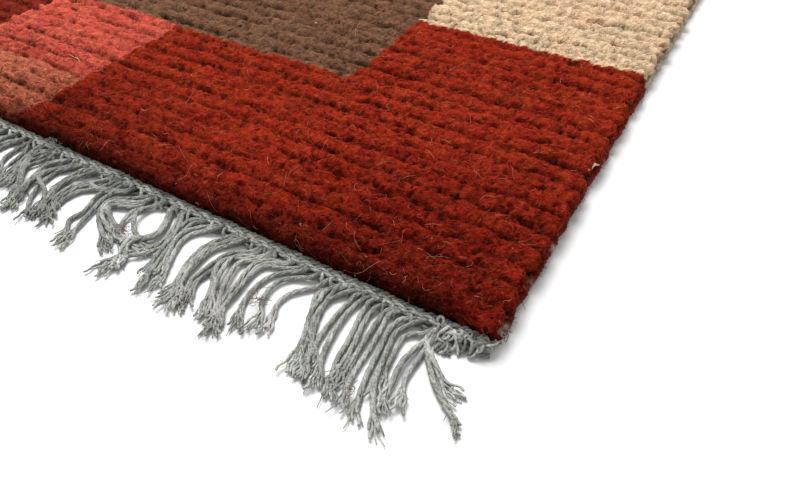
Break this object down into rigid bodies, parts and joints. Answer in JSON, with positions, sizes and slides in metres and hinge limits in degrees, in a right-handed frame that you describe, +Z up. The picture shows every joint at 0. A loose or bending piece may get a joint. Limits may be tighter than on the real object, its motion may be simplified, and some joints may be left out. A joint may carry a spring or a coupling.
{
  "type": "nepalese rug",
  "caption": "Flat rectangular hand-knotted wool rug with ribbed pile rows, overcast side edges, twined end braids and a cotton fringe at both ends.",
  "frame": {"origin": "under the middle of the rug, on the surface that it lies on", "axes": "+X along the pile rows and the fringed ends, +Y along the rug's length, +Z up out of the pile"},
  "size_m": [0.6, 0.992, 0.0106],
  "materials": {
    "pile_wool": "matte",
    "edge_wool": "matte",
    "warp_cotton": "matte"
  },
  "bodies": {
    "root": {"pile_field": "pile_wool", "selvedge_right": "edge_wool", "selvedge_left": "edge_wool", "fringe_near": "warp_cotton", "fringe_far": "warp_cotton"}
  },
  "joints": []
}
